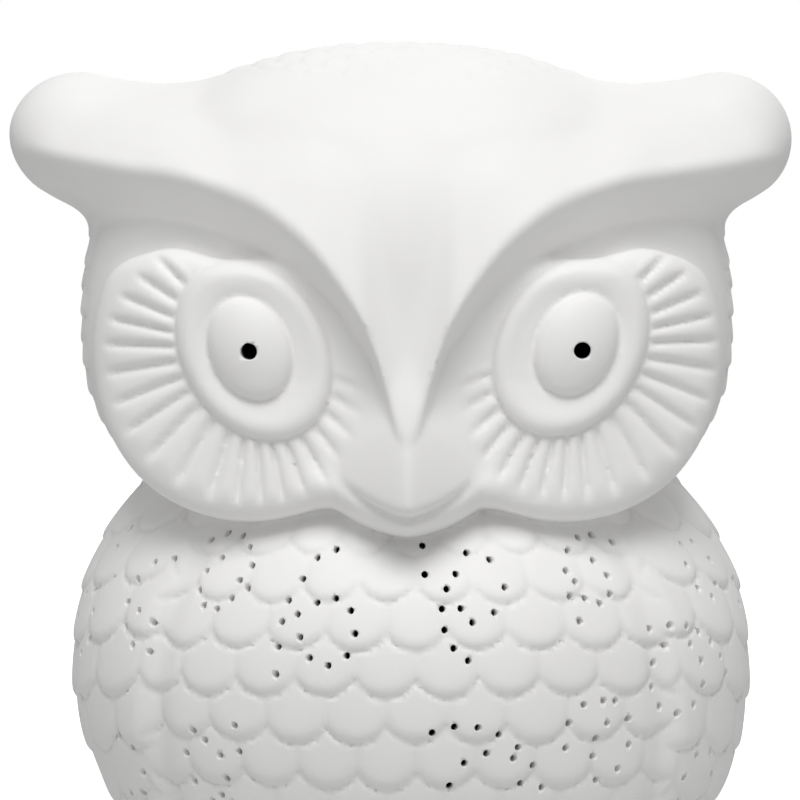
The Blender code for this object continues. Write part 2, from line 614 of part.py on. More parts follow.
revolve("lamp_stem", [
    (0, glass_z + 0.0002), (flare, glass_z + 0.0002), (flare, glass_z + 0.0010),
    (0.0020, glass_z + 0.0030), (0.0020, f0 - 0.0017), (0.0066, f0 - 0.0008), (0.0066, f0),
    (0.0012, f0), (0.0012, f1), (0.0066, f1), (0.0066, f1 + 0.0008), (0, f1 + 0.0018)],
    material("stem_glass", (0.85, 0.88, 0.86), 0.1, 0.0, 0.8), 20)
phosphor = material("led_phosphor", (0.9, 0.6, 0.1), 0.6)
for k, name in enumerate(("right", "rear", "left", "front")):
    x, y = around(0.0052, 90 * k)
    revolve("led_filament_" + name, [
        (0, FILAMENT_Z), (FILAMENT_R, FILAMENT_Z), (FILAMENT_R, FILAMENT_Z + FILAMENT_L),
        (0, FILAMENT_Z + FILAMENT_L)], phosphor, 10, (x, y, 0))
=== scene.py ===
"""Pierced porcelain owl lamp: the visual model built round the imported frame."""
import math

import bmesh
import bpy
import numpy as np
from mathutils import Matrix, Vector


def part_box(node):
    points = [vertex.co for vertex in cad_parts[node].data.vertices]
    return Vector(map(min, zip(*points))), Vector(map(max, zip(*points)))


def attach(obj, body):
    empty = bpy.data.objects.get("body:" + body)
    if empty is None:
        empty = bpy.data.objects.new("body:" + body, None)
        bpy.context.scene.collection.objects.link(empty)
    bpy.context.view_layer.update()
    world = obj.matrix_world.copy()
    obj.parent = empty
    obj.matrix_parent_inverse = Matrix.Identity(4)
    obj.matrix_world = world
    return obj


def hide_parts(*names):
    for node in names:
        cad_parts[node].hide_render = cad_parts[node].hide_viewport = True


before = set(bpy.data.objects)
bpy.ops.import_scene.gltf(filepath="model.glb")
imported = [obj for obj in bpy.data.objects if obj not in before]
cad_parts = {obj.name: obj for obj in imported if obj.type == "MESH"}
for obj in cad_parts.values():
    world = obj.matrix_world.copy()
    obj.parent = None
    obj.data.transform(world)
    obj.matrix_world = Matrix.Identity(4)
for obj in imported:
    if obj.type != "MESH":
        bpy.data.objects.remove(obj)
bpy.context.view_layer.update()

MM = 0.001
CELL = 1.05      # mm, net size of the porcelain's outside
CELL_IN = 2.6                           # mm, net size of the inside

SHELL_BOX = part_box("porcelain_owl_shell")
PAN_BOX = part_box("base_pan")
FOOT_Z = SHELL_BOX[0][2] / MM
PAN_R = (PAN_BOX[1][0] - PAN_BOX[0][0]) / 2 / MM
FOOT_IN = PAN_R + 1.0
LEDGE_Z, LEDGE_TOP, LEDGE_R = 19.0, 23.0, 43.0
GROMMET_Z = 10.3
WALL = 4.3


# ------------------------------------------------------------ field helpers
def smin(a, b, k):
    h = np.clip(0.5 + 0.5 * (b - a) / k, 0.0, 1.0)
    return b + (a - b) * h - k * h * (1.0 - h)


def smax(a, b, k):
    return -smin(-a, -b, k)


def ramp(x, lo, hi):
    t = np.clip((x - lo) / (hi - lo), 0.0, 1.0)
    return t * t * (3.0 - 2.0 * t)


def bump(x, width):
    return np.exp(-(x / width) ** 2)


def rod(a, d, z, p, q, r0, r1, flat=1.0):
    """Round-ended rod from p to q in (a, d, z), radius r0 to r1, depth stretched."""
    ax, ay, az = a - p[0], (d - p[1]) / flat, z - p[2]
    bx, by, bz = q[0] - p[0], (q[1] - p[1]) / flat, q[2] - p[2]
    t = np.clip((ax * bx + ay * by + az * bz) / (bx * bx + by * by + bz * bz), 0.0, 1.0)
    away = np.sqrt((ax - t * bx) ** 2 + (ay - t * by) ** 2 + (az - t * bz) ** 2)
    return away - (r0 + (r1 - r0) * t)


# ------------------------------------------------------------ owl form, mm
# x is across, z up, d forward (d = -y) and a = |x|; every form is negative inside
HEAD_Z = 160.0                          # height of the head's widest level
HEAD_W, HEAD_UP, HEAD_DOWN = 87.6, 73.6, 58.0
WAIST_Z = 66.0                          # height of the body's widest level
BODY_HALF_W, BODY_HALF_D = 89.4, 79.0
BODY_TOP = 122.0

# brow edge: distance from the middle, height, depth, backward slope of the face above it
BROW_EDGE = [(0.0, 124.0, 76.0, 0.06), (3.2, 131.5, 77.4, 0.10), (5.4, 139.0, 78.6, 0.15),
             (8.6, 149.6, 79.5, 0.20),
             (15.0, 161.5, 78.5, 0.28), (23.0, 172.5, 76.0, 0.38), (32.5, 181.5, 72.0, 0.50),
             (42.5, 187.6, 66.5, 0.60), (53.0, 191.8, 61.5, 0.62), (66.0, 194.6, 54.0, 0.60),
             (79.0, 196.3, 46.0, 0.56), (91.0, 198.5, 37.0, 0.52), (103.0, 202.0, 27.0, 0.45)]


def smooth_table(rows, column):
    """Cubic through the rows, sampled finely, as (places, values)."""
    x = np.array([r[0] for r in rows])
    y = np.array([r[column] for r in rows])
    m = np.gradient(y, x)
    places = np.linspace(x[0], x[-1], 400)
    k = np.clip(np.searchsorted(x, places) - 1, 0, len(x) - 2)
    h = x[k + 1] - x[k]
    t = (places - x[k]) / h
    out = ((1 + 2 * t) * (1 - t) ** 2 * y[k] + t * (1 - t) ** 2 * h * m[k]
           + t * t * (3 - 2 * t) * y[k + 1] + t * t * (t - 1) * h * m[k + 1])
    return places, out


EDGE_Z, EDGE_D, EDGE_S = (smooth_table(BROW_EDGE, c) for c in (1, 2, 3))


def body_width(z):
    """Half width of the body at height z."""
    below, above = np.clip(WAIST_Z - z, 0, None), np.clip(z - WAIST_Z, 0, 60)
    low = BODY_HALF_W - 29.5 * (below / WAIST_Z) ** 2.0
    high = BODY_HALF_W - 17.8 * (above / 49.0) ** 2.35
    return np.where(z < WAIST_Z, low, high)


def body_depth(z, front):
    """Half depth of the body at height z, fuller at the back than under the beak."""
    below, above = np.clip(WAIST_Z - z, 0, None), np.clip(z - WAIST_Z, 0, 60)
    low = BODY_HALF_D - 22.0 * (below / WAIST_Z) ** 1.9
    rear = BODY_HALF_D - 17.5 * (above / 49.0) ** 2.35
    fore = BODY_HALF_D - 17.5 * (above / 38.0) ** 2.2
    return np.where(z < WAIST_Z, low, np.where(front, fore, rear))


def body_form(x, y, z):
    """Round body, drawn in at the throat."""
    x = x - 1.1 * ramp(z, 14.0, 40.0) - 1.3 * bump(z - 30.0, 15.0)
    wide = np.maximum(body_width(z), 8.0)
    deep = np.maximum(body_depth(z, y < 0), 8.0)
    rho = ((np.abs(x) / wide) ** 2.12 + (np.abs(y) / deep) ** 2.12) ** (1 / 2.12)
    reach = np.sqrt(x * x + y * y)
    f = (rho - 1.0) * np.where(rho > 0.3, reach / np.maximum(rho, 0.3), wide)
    throat = 7.0 * bump(x, 13.0) * ramp(z, 88.0, 104.0) * (y < 0)
    return np.where(z > BODY_TOP, np.maximum(f, (z - BODY_TOP) + 5.0), f + throat)


def cranium_form(x, y, z):
    """Round of the head, squarer low down than at the crown."""
    x = x + 2.0 * ramp(z, 185.0, 225.0)
    power = 2.6 - 0.3 * ramp(z, 140.0, 185.0)
    high = np.where(z > HEAD_Z, HEAD_UP, HEAD_DOWN)
    rho = ((np.abs(x) / HEAD_W) ** power + (np.abs(y) / 72.5) ** power
           + (np.abs(z - HEAD_Z) / high) ** power) ** (1 / power)
    reach = np.sqrt(x * x + y * y + (z - HEAD_Z) ** 2)
    return (rho - 1.0) * np.where(rho > 0.3, reach / np.maximum(rho, 0.3), 75.0)


def horn_form(a, d, z):
    """Ear tuft: two round-ended rods melted together."""
    low = rod(a, d, z, (62, 10, 189), (89.4, 8, 208.6), 12, 16.4, 1.15)
    top = rod(a, d, z, (50, 10, 204.5), (84.8, 8, 208.3), 16, 16.6, 1.15)
    return smin(low, top, 5.0)


def head_outline(a, z):
    """Outline of crown and horns seen from the front."""
    zero = np.zeros_like(a)
    high = np.where(z > HEAD_Z, HEAD_UP, HEAD_DOWN)
    rho = ((a / HEAD_W) ** 2.3 + (np.abs(z - HEAD_Z) / high) ** 2.3) ** (1 / 2.3)
    crown = (rho - 1.0) * 76.0
    low = rod(a, zero, z, (62, 0, 189), (89.4, 0, 208.6), 13, 16.6)
    top = rod(a, zero, z, (50, 0, 204.5), (84.8, 0, 208.3), 16, 16.8)
    return smin(smin(low, top, 5.0), crown, 9.0)


def brow_form(a, d, z):
    """The brow's front face, one sweep from the bridge to the horn tips."""
    soft = np.sqrt(a * a + 9.0) - 2.5
    rise = z - np.interp(soft, *EDGE_Z)
    lean = np.interp(soft, *EDGE_S)
    bow = 0.004 + 0.016 * ramp(soft, 20.0, 50.0)
    up = np.clip(rise, 0.0, 60.0)
    dome = 0.03 * np.clip(z - 192.0, 0, None) ** 2 * (1.0 - ramp(soft, 28.0, 62.0))
    face = np.interp(soft, *EDGE_D) - lean * rise - bow * up * up - dome
    front = (d - face) / np.sqrt(1.0 + (lean + 2 * bow * up) ** 2)
    return smax(front, head_outline(a, z) + 2.4, 12.0)


def under_brow(a, d, z):
    """Negative below the soffit that runs back and down from the brow's edge."""
    slope = 0.45 + 0.45 * ramp(a, 6.0, 36.0) - 0.25 * ramp(a, 74.0, 98.0)
    back = np.clip(np.interp(a, *EDGE_D) - 1.5 - d, -20.0, 60.0)
    deep = np.clip(back - 9.0, 0.0, None) * 0.3
    return (z - (np.interp(a, *EDGE_Z) - slope * (back - deep))) / np.sqrt(1 + slope ** 2)


def face_outline(a, z):
    """Outline of the face discs and chin seen from the front."""
    lobe = np.sqrt(((a - 41.0) / 44.0) ** 2 + ((z - 150.0) / 44.5) ** 2)
    lobe = (lobe - 1.0) * 43.0
    roof = z - (173.6 + 3.2 * ramp(a, 46.0, 62.0) - 0.012 * np.clip(a - 60.0, 0, None) ** 2)
    lobe = smax(lobe, roof, 3.5)
    chin = (np.sqrt((a / 22.0) ** 2 + ((z - 119.0) / 15.5) ** 2) - 1.0) * 16.0
    mid = np.maximum(a - 22.0, np.abs(z - 142.0) - 26.0)
    return smin(smin(lobe, chin, 5.0), mid, 3.0)


def face_depth(a, z):
    """How far forward the plain face stands."""
    out = np.clip(a - 32.0, 0, None)
    tilt = 0.08 * np.clip(142.0 - z, 0.0, 32.0) - 0.0022 * np.clip(z - 150.0, 0.0, None) ** 2
    return 64.0 - 0.0078 * out ** 2 + tilt


# side: ring centre (a, z) and the ball's offset from it
EYES = {-1: (39.8, 149.9, 0.9, 0.2), 1: (42.4, 150.9, 1.2, 0.4)}
RING = (18.3, 24.2)                     # half axes
BALL = (10.3, 13.7)
RING_TILT, BALL_TILT = -31.0, -25.0     # degrees, tops outwards
FLUTE_PITCH = 10.72                     # degrees between the grooves round an eye


def groove_phase(angle):
    """Whole numbers on the grooves between the flutes round an eye."""
    shift = 10.0 * np.exp(-((angle - 78.0) / 30.0) ** 2) - 2.0 * np.exp(-(angle / 16.0) ** 2)
    return (angle - shift + 43.4) / FLUTE_PITCH


def turned(dx, dz, degrees):
    """The offset (dx, dz) in axes turned by so many degrees."""
    c, s = math.cos(math.radians(degrees)), math.sin(math.radians(degrees))
    return c * dx + s * dz, c * dz - s * dx


def eye_relief(a, z, side):
    """Height of ring, ball and flutes on the face of one side, mm."""
    ex, ez, bx, bz = EYES[side]
    dx, dz = a - ex, z - ez
    tx, tz = turned(dx, dz, RING_TILT)
    ring = np.sqrt((tx / RING[0]) ** 2 + (tz / RING[1]) ** 2)
    kx, kz = turned(dx - bx, dz - bz, BALL_TILT)
    ball = np.sqrt((kx / BALL[0]) ** 2 + (kz / BALL[1]) ** 2)
    rise = np.sqrt(np.clip(1.0 - (np.clip(ring - 0.85, 0, None) / 0.17) ** 2, 0.0, 1.0))
    h = 3.0 * rise - 0.8 * ramp(0.88 - ring, 0.0, 0.26)
    moat = 0.6 * bump((ball - 1.04) * 11.5, 1.1)
    dome = 4.6 * np.sqrt(np.clip(1.0 - ball ** 2, 0.0, 1.0)) ** 1.15
    h = h - moat * (ring < 1.0) + dome * (ball < 1.0)
    angle = np.degrees(np.arctan2(-dz, dx))        # 0 outwards, 90 down, 180 inwards
    phase = groove_phase(angle)
    far = np.sqrt(dx * dx + dz * dz)
    half = np.maximum(far, 12.0) * math.radians(FLUTE_PITCH) / 2
    off = np.abs(phase - np.round(phase)) * 2 * half
    pillow = (0.62 * (1.0 - np.exp(-off ** 2))
              + 0.38 * (1 - (1 - np.minimum(off / half, 1)) ** 2))
    span = ramp(phase, -0.9, -0.3) * (1.0 - ramp(phase, 19.3, 19.9))
    end = 40.0 - 4.0 * ramp(-angle, 5.0, 45.0) - 8.0 * ramp(angle, 110.0, 165.0)
    reach = ramp(ring, 1.0, 1.12) * (1.0 - ramp(far, end - 4.0, end + 1.5))
    flute = (1.7 * (pillow - 1.0) + 0.6) * span * reach
    return h + flute


def beak_form(x, d, z):
    """Three-sided beak: a ridge with two cheeks over a curved mouth."""
    a = np.abs(x)
    soft = np.sqrt(x * x + 3.0)
    above, below = np.clip(z - 112.0, 0, None), np.clip(112 - z, 0, None)
    ridge = 80.8 - 0.009 * above ** 2 - 0.012 * below ** 2
    cheek = (d - ridge + 0.80 * (soft - 1.7)) / 1.28
    mouth = (107.4 + 9.0 * (a / 18.0) ** 1.5) - z
    upper = ((z - (148.0 - 1.15 * a)) + 0.7 * (d - 66.0)) / 1.7
    side = a - 22.5
    tip = smax(cheek, mouth * 0.9, 2.4)
    return smax(smax(tip, upper, 4.0), side, 4.0)


def lip_form(x, d, z):
    """Smooth band below the mouth."""
    a = np.abs(x)
    line = 105.2 + np.minimum(9.0 * (a / 18.0) ** 1.5, 9.5)
    depth = 67.5 - 9.0 * (a / 18.0) ** 1.3
    dz, dd = z - line, d - depth
    return np.sqrt(dz * dz + (dd / 2.6) ** 2) - 2.5


# ------------------------------------------------------------ feathers
def scallops(u, v, pitch, row, phase=0.0, edge=1.5, sag=0.70):
    """Height 0..1 of overlapping U-shaped feathers; v grows upwards."""
    radius = pitch * 0.60
    best = np.full(u.shape, -1.0)
    out = np.zeros(u.shape)
    base = np.floor(v / row)
    for step in (1, 0, -1, -2):
        k = base + step
        shift = np.where(np.mod(k, 2) == 0, 0.0, 0.5)
        du = (np.mod(u / pitch + shift + phase + 0.5, 1.0) - 0.5) * pitch
        wob = 0.35 * np.sin(k * 2.3 + np.floor(u / pitch + shift + phase + 0.5) * 1.7)
        low = k * row + wob + radius - np.sqrt(np.clip(radius ** 2 - du ** 2, 0.0, None))
        s = v - low
        inside = (s >= 0) & (best < 0)
        lift = 1.0 - np.exp(-(np.clip(s, 0, None) / edge) ** 1.3)
        dome = 1.0 - 0.42 * (du / (pitch / 2)) ** 2
        seam = 1.0 - 0.20 * bump(pitch / 2 - np.abs(du), 1.2)
        h = lift * dome * seam * (1.0 - sag * np.clip(s / (1.45 * row), 0, 1))
        out = np.where(inside, h, out)
        best = np.where(inside, 1.0, best)
    return out


def body_feathers(x, y, z):
    """Feather height on the body: small on breast and back, large on the wings."""
    around = np.degrees(np.arctan2(x, -y))
    u = np.radians(around) * 84.0
    fan = np.abs(around)
    edge = 46.5 + 0.09 * (88.0 - z)
    wing = ramp(fan, edge, edge + 5.0) * (1.0 - ramp(fan, 138.0, 142.0))
    breast = scallops(u - 2.4, z - 96.4 + 119.0, 16.5, 11.9)
    large = scallops(u + np.sign(x) * 0.14 * (z - 60), z + 0.10 * np.abs(u) + 5.0, 19.5, 14.5)
    h = 2.0 * (breast * (1.0 - wing) + 1.1 * large * wing)
    crease = 0.9 * bump(fan - edge + 0.5, 2.6) + 0.7 * bump(fan - 140.0, 3.0)
    crease = crease * ramp(110.0 - z, 0.0, 10.0) * ramp(z, 10.0, 22.0)
    h = h + 1.6 * wing * bump(z - 60.0, 55.0) - crease
    return h * ramp(z, 5.0, 12.0)


def head_feathers(x, y, z):
    """Feather height on the head, in rows laid round the Y axis."""
    dx, dy, dz = x, y, z - HEAD_Z
    reach = np.sqrt(dx * dx + dy * dy + dz * dz) + 1e-6
    alpha = np.arccos(np.clip(dy / reach, -1, 1))
    flat = np.sqrt(dx * dx + dz * dz) + 1e-6
    u, v = alpha * 80.0 * dx / flat, alpha * 80.0 * dz / flat
    limit = 104.0 + 22.0 * ramp(dz / flat, 0.80, 0.97)
    on = 1.0 - ramp(np.degrees(alpha), limit - 2.5, limit)
    top = ramp(dz / flat, 0.6, 0.9)
    h = scallops(u, v + 200.0, 15.5, 11.0)
    return (h - 0.35) * on * (1.9 - 1.2 * top * ramp(np.degrees(alpha), 84.0, 118.0))


def owl_plain(x, y, z, fine):
    """Head and brow without the face."""
    d = -y
    xs = x + 1.9 * ramp(z, 175.0, 215.0)
    a = np.abs(x)
    ah = np.abs(xs)
    cran = cranium_form(x, y, z)
    if fine:
        near = (cran > -7.0) & (cran < 8.0)
        if near.any():
            off_horn = ramp(horn_form(ah[near], d[near], z[near]), 1.0, 7.0)
            away = off_horn * ramp(z[near], 112.0, 122.0)
            cran = cran.copy()
            cran[near] -= head_feathers(x[near], y[near], z[near]) * away
    horns = horn_form(ah, d, z)
    brow = smax(brow_form(np.where(z > 175, ah, a), d, z), -d - 4.0, 12.0)
    top = smin(cran, horns, 9.0)
    top = smin(top, brow, 5.0)
    cut = np.where(d > 15.0, -under_brow(a, d, z), -60.0)
    keep = ramp(d, 8.0, 22.0)
    cut = cut * keep - 30.0 * (1.0 - keep)
    top = smax(top, cut, 3.6)
    return top, cran


def owl_outside(x, y, z, fine=True):
    """The whole owl's outside; fine adds feathers and the eyes' relief."""
    d = -y
    a = np.abs(x)
    top, cran = owl_plain(x, y, z, fine)
    # what stands behind the face: the cranium set back
    core = smax(cran, d - (np.interp(a, *EDGE_D) - 14.0), 7.0)
    sheet = d - face_depth(a, z)
    if fine:
        near = (np.abs(sheet) < 14.0) & (a < 90.0) & (z > 98.0) & (z < 182.0)
        if near.any():
            relief = np.where(x[near] < 0, eye_relief(a[near], z[near], -1),
                              eye_relief(a[near], z[near], 1))
            sheet = sheet.copy()
            sheet[near] = sheet[near] - relief
    else:
        sheet = sheet - 1.5 * bump(a - 41.0, 20.0) * bump(z - 150.0, 22.0)
    face = smax(sheet, face_outline(a, z) + 0.13 * np.clip(50.0 - d, 0.0, 60.0), 7.0)
    face = np.maximum(face, 14.0 - d)
    f = smin(core, top, 1.5)
    f = smin(f, face, 2.5 + 4.0 * ramp(a, 48.0, 60.0))
    lip = smax(lip_form(x, d, z), a - 27.0, 8.0)
    f = smin(f, lip, 7.0)
    beak = np.maximum(beak_form(x, d, z), 40.0 - d)
    f = smin(f, beak, 1.6 + 4.0 * ramp(z, 118.0, 130.0))
    body = body_form(x, y, z)
    if fine:
        band = (body > -8.0) & (body < 10.0) & (z < BODY_TOP)
        if band.any():
            body = body.copy()
            fade = ramp(BODY_TOP - z[band], 0, 6)
            body[band] -= body_feathers(x[band], y[band], z[band]) * fade
    f = smin(f, body, 2.5)
    return smax(f, FOOT_Z - z, 1.6)


def owl_inside(x, y, z):
    """The hollow, one wall in from the plain outside, down to the ledge."""
    f = owl_outside(x, y, z, fine=False) + WALL
    return np.maximum(f, LEDGE_TOP - z)


# ------------------------------------------------------------ net of a field
def net_of(field, low, high, cell):
    """Closed quad net over field = 0: one vertex for each cell the surface crosses."""
    block = 8
    count = [int(math.ceil((h - l) / cell / block)) for l, h in zip(low, high)]
    size = [c * block + 1 for c in count]
    axes = [l + cell * np.arange(s) for l, s in zip(low, size)]
    mid = [ax[:-1:block] + cell * block / 2 for ax in axes]
    cx, cy, cz = np.meshgrid(*mid, indexing="ij")
    rough = field(cx, cy, cz)
    grid = np.repeat(np.repeat(np.repeat(np.where(rough < 0, -9.0, 9.0), block, 0), block, 1),
                     block, 2)
    grid = np.pad(grid, ((0, 1),) * 3, mode="edge").astype(np.float32)
    near = np.argwhere(np.abs(rough) < cell * block * 1.35)
    span = np.arange(block + 1)
    for part in np.array_split(near, max(1, len(near) // 600)):
        ix = (part[:, 0, None] * block + span)
        iy = (part[:, 1, None] * block + span)
        iz = (part[:, 2, None] * block + span)
        shape = (len(part), block + 1, block + 1, block + 1)
        gx = np.broadcast_to(axes[0][ix][:, :, None, None], shape)
        gy = np.broadcast_to(axes[1][iy][:, None, :, None], shape)
        gz = np.broadcast_to(axes[2][iz][:, None, None, :], shape)
        value = field(gx.ravel().copy(), gy.ravel().copy(), gz.ravel().copy()).reshape(shape)
        grid[ix[:, :, None, None], iy[:, None, :, None], iz[:, None, None, :]] = value
    inside = grid < 0
    cells = [s - 1 for s in size]
    total = np.zeros(cells + [3], dtype=np.float32)
    hits = np.zeros(cells, dtype=np.float32)
    for axis in range(3):
        g0 = np.take(grid, range(size[axis] - 1), axis)
        g1 = np.take(grid, range(1, size[axis]), axis)
        cross = (g0 < 0) != (g1 < 0)
        t = np.where(cross, g0 / np.where(g0 == g1, 1, g0 - g1), 0).astype(np.float32)
        others = [k for k in range(3) if k != axis]
        for i in (0, 1):
            for j in (0, 1):
                pick = [slice(None)] * 3
                pick[others[0]] = slice(i, cells[others[0]] + i)
                pick[others[1]] = slice(j, cells[others[1]] + j)
                c = cross[tuple(pick)]
                hits += c
                total[..., axis] += np.where(c, t[tuple(pick)], 0)
                total[..., others[0]] += c * i
                total[..., others[1]] += c * j
    live = hits > 0
    index = -np.ones(cells, dtype=np.int64)
    index[live] = np.arange(live.sum())
    where = np.argwhere(live)
    pts = (where + total[live] / hits[live][:, None]) * cell + np.array(low)
    faces = []
    for axis in range(3):
        o1, o2 = (axis + 1) % 3, (axis + 2) % 3
        g0 = np.take(inside, range(size[axis] - 1), axis)
        g1 = np.take(inside, range(1, size[axis]), axis)
        edge = np.argwhere(g0 != g1)
        edge = edge[(edge[:, o1] > 0) & (edge[:, o2] > 0)
                    & (edge[:, o1] < size[o1] - 1) & (edge[:, o2] < size[o2] - 1)]
        out = g0[tuple(edge.T)]
        ring = []
        for i, j in ((0, 0), (1, 0), (1, 1), (0, 1)):
            c = edge.copy()
            c[:, o1] -= 1 - i
            c[:, o2] -= 1 - j
            ring.append(index[tuple(c.T)])
        quad = np.stack(ring, axis=1)
        quad[~out] = quad[~out][:, ::-1]
        faces.append(quad)
    return pts, np.concatenate(faces)


def settle(pts, field, rounds=2, step=0.25, most=0.6):
    """Moves net points onto the surface along the field's slope."""
    for _ in range(rounds):
        f0 = field(*pts.T.copy())
        slope = np.stack([field(*(pts + np.eye(3)[k] * step).T.copy())
                          - field(*(pts - np.eye(3)[k] * step).T.copy())
                          for k in range(3)], axis=1) / (2 * step)
        size = np.maximum((slope ** 2).sum(1), 0.25)
        move = -(f0 / size)[:, None] * slope
        far = np.linalg.norm(move, axis=1)
        move *= np.minimum(1.0, most / np.maximum(far, 1e-9))[:, None]
        pts = pts + move
    return pts


def mesh_from(name, pts, faces):
    """Object in metres from points in mm and an array of quads."""
    mesh = bpy.data.meshes.new(name)
    mesh.vertices.add(len(pts))
    mesh.vertices.foreach_set("co", (pts * MM).astype(np.float32).ravel())
    mesh.loops.add(faces.size)
    mesh.loops.foreach_set("vertex_index", faces.astype(np.int32).ravel())
    mesh.polygons.add(len(faces))
    mesh.polygons.foreach_set("loop_start", np.arange(0, faces.size, 4, dtype=np.int32))
    mesh.update(calc_edges=True)
    mesh.validate()
    ob = bpy.data.objects.new(name, mesh)
    bpy.context.scene.collection.objects.link(ob)
    return ob


# ------------------------------------------------------------ cutters
def rods_object(name, items, segments):
    """Closed rods in one mesh: (start, end, start radius, end radius) in mm."""
    bm = bmesh.new()
    for start, end, r0, r1 in items:
        start, end = Vector(start) * MM, Vector(end) * MM
        turn = (end - start).to_track_quat("Z", "Y").to_matrix().to_4x4()
        place = Matrix.Translation((start + end) / 2) @ turn
        bmesh.ops.create_cone(bm, cap_ends=True, segments=segments, radius1=r0 * MM,
                              radius2=r1 * MM, depth=(end - start).length, matrix=place)
    mesh = bpy.data.meshes.new(name)
    bm.to_mesh(mesh)
    bm.free()
    ob = bpy.data.objects.new(name, mesh)
    bpy.context.scene.collection.objects.link(ob)
    return ob


def carve(ob, *cutters):
    """Cuts every cutter out of the object and removes the cutters."""
    for cutter in cutters:
        mod = ob.modifiers.new("cut", "BOOLEAN")
        mod.operation = "DIFFERENCE"
        mod.solver = "MANIFOLD"
        mod.object = cutter
    graph = bpy.context.evaluated_depsgraph_get()
    mesh = bpy.data.meshes.new_from_object(ob.evaluated_get(graph))
    ob.modifiers.clear()
    ob.data = mesh
    for cutter in cutters:
        bpy.data.objects.remove(cutter, do_unlink=True)


# pinhole motifs: (azimuth, height, arc radius, first angle, step, count), degrees and mm
MOTIFS = [
    # front, owl's right
    (-15.5, 86.2, 8.3, 92, 38.5, 3), (-14.8, 76.3, 7.4, 122, -41.7, 8),
    (-22.6, 80.4, 2.6, 105, -115, 3), (-20.0, 69.8, 6.6, 153, 54, 2),
    # front, middle and owl's left
    (5.9, 92.3, 4.7, 135, 90, 2), (14.1, 86.8, 7.2, 103, -55, 4),
    (14.1, 80.0, 10.9, 124, 24.5, 6),
    (10.0, 78.3, 3.1, 85, -85, 2),
    # under the head, both flanks
    (-40.0, 86.0, 11.8, 122, -25, 6), (-38.0, 86.5, 6.0, 114, 42, 7),
    (40.7, 84.0, 13.4, 59, 24.5, 7),
    (36.9, 87.0, 5.2, 57, -47, 6),
    # lower row
    (-37.9, 46.0, 9.2, 122, 42, 5), (-40.3, 45.0, 6.8, 76, -46, 4),
    (-34.5, 52.3, 4.3, 44, -88, 2),
    (10.3, 30.0, 25.6, 109, -13.7, 8), (15.2, 38.5, 11.0, 93, 33.5, 4),
    (16.6, 42.5, 7.5, 51, -50, 3),
    (36.2, 52.0, 9.3, 66, -37.5, 5), (35.2, 52.5, 8.3, 78, 39, 4),
    (40.0, 50.0, 7.0, 125, 34.5, 3),
    # wings
    (52.4, 65.0, 8.0, 118, 38, 9), (51.0, 50.0, 26.5, 103, -11.6, 7),
    (64.1, 88.5, 6.5, 120, 51, 7),
    (61.7, 41.0, 7.0, 60, -50, 7), (-50.7, 81.0, 10.4, 86, 31, 7),
    (-52.4, 76.5, 3.5, 120, -110, 2),
    (-66.2, 94.5, 5.0, 140, 55, 2), (-60.7, 44.5, 7.0, 90, -50, 5),
    (-74.0, 76.0, 7.2, 20, 51, 7),
    (-84.0, 54.0, 7.0, 0, 52, 6), (82.0, 80.0, 6.8, 30, 51, 7), (90.0, 52.0, 6.5, 15, 60, 6),
    # back
    (-108.0, 82.0, 7.2, 0, 51, 7), (-118.0, 50.0, 7.0, 20, 51, 7),
    (112.0, 84.0, 7.2, 10, 51, 7),
    (120.0, 52.0, 7.0, 0, 51, 7), (-140.0, 76.0, 7.4, 30, 45, 8), (142.0, 78.0, 7.4, 0, 45, 8),
    (-160.0, 46.0, 7.2, 0, 51, 7), (158.0, 44.0, 7.2, 25, 51, 7), (180.0, 84.0, 7.6, 0, 45, 8),
    (176.0, 62.0, 4.6, 20, 72, 5),
]
HEAD_MOTIFS = [(s * az, z, r, start, 60, 5) for s in (-1, 1) for az, z, r, start in
               ((97, 165, 5.5, 0), (118, 182, 6.5, 20), (124, 142, 6.5, 40), (150, 168, 7.0, 0),
                (172, 190, 6.5, 30), (168, 140, 6.5, 10))]


def motif_rods(motifs, reach, inner, outer, radius, centre):
    """Slightly flared pinholes; each points at the middle of the hollow."""
    out = []
    for az, z, r, start, step, count in motifs:
        for k in range(count):
            t = math.radians(start + step * k)
            turn = math.radians(az) + r * math.cos(t) / reach
            h = z + r * math.sin(t)
            way = Vector((math.sin(turn), -math.cos(turn), (h - centre) * 0.002))
            foot = Vector((0, 0, h))
            out.append((foot + way * inner, foot + way * outer, radius * 0.97, radius * 1.04))
    return out


def surface_reach(az, z):
    """Distance from the Z axis to the outside at this azimuth and height."""
    r = np.linspace(30.0, 110.0, 320)
    turn = math.radians(az)
    f = owl_outside(r * math.sin(turn), -r * math.cos(turn), np.full(r.shape, float(z)), False)
    hit = np.where(f < 0)[0]
    return r[hit[-1]] if len(hit) else 60.0


# cutters, mm
PIN_R, PIN_SIDES = 0.93, 14
BODY_REACH, PIN_IN, PIN_OUT = 83.1, 56.0, 104.0   # from the Z axis
BODY_MID, HEAD_MID = 66.0, 150.0                  # heights the pinholes lean towards
EYE_IN, EYE_OUT = -48, -90                        # y where the eye holes start and end
EYE_R_IN, EYE_R_OUT = 2.15, 2.3
NOTCH_R, SLOT_W, SLOT_D, SLOT_H = 6.2, 12.36, 38, 12.4


